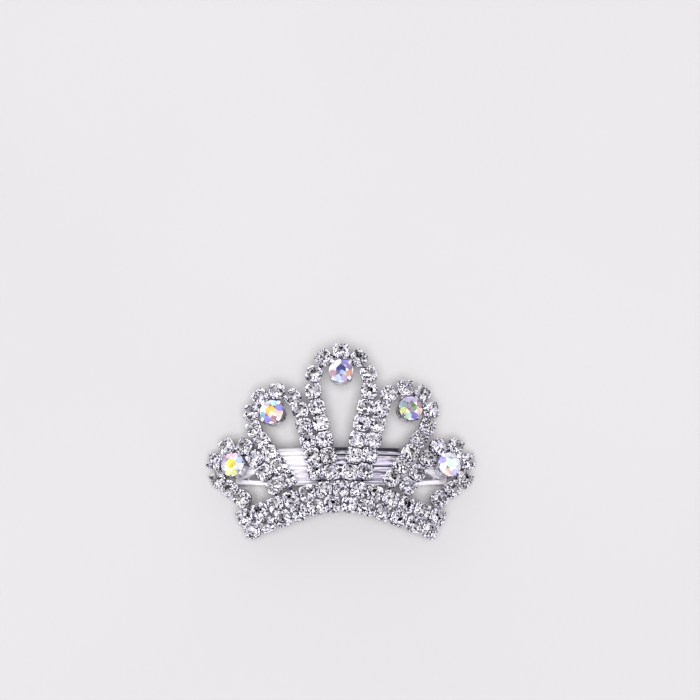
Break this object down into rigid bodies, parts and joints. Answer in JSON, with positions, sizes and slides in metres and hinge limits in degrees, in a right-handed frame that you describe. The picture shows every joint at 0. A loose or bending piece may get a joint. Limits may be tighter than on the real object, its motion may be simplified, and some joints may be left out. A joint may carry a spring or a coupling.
{
  "type": "tiara hair clip",
  "caption": "Small crown-shaped hair clip: arched petals and a curved band of cut stones in claw settings, soldered over a ribbed barrette plate with a clasp arm.",
  "frame": {"origin": "middle of the outline seen from above, at the level of the clasp arm's flat back on which the clip lies", "axes": "+X to the wearer's left along the barrette, +Y from the band towards the petals' tips, +Z out of the crown's face"},
  "size_m": [0.0508, 0.0367, 0.0118],
  "materials": {
    "bright_plating": "bright silver plating, polished",
    "clear_stone": "clear cut glass, foiled back",
    "iridescent_stone": "cut glass with a rainbow coating, foiled back",
    "plate_sheet": "bright nickel-plated sheet",
    "arm_sheet": "satin nickel-plated sheet"
  },
  "bodies": {
    "root": {"crown_frame": "bright_plating", "centre_petal_stones": "clear_stone", "left_inner_petal_stones": "clear_stone", "right_inner_petal_stones": "clear_stone", "left_outer_petal_stones": "clear_stone", "right_outer_petal_stones": "clear_stone", "upper_band_stones": "clear_stone", "lower_band_stones": "clear_stone", "centre_crystal": "iridescent_stone", "left_inner_crystal": "iridescent_stone", "right_inner_crystal": "iridescent_stone", "left_outer_crystal": "iridescent_stone", "right_outer_crystal": "iridescent_stone", "barrette_plate": "plate_sheet", "clasp_arm": "arm_sheet"}
  },
  "joints": []
}
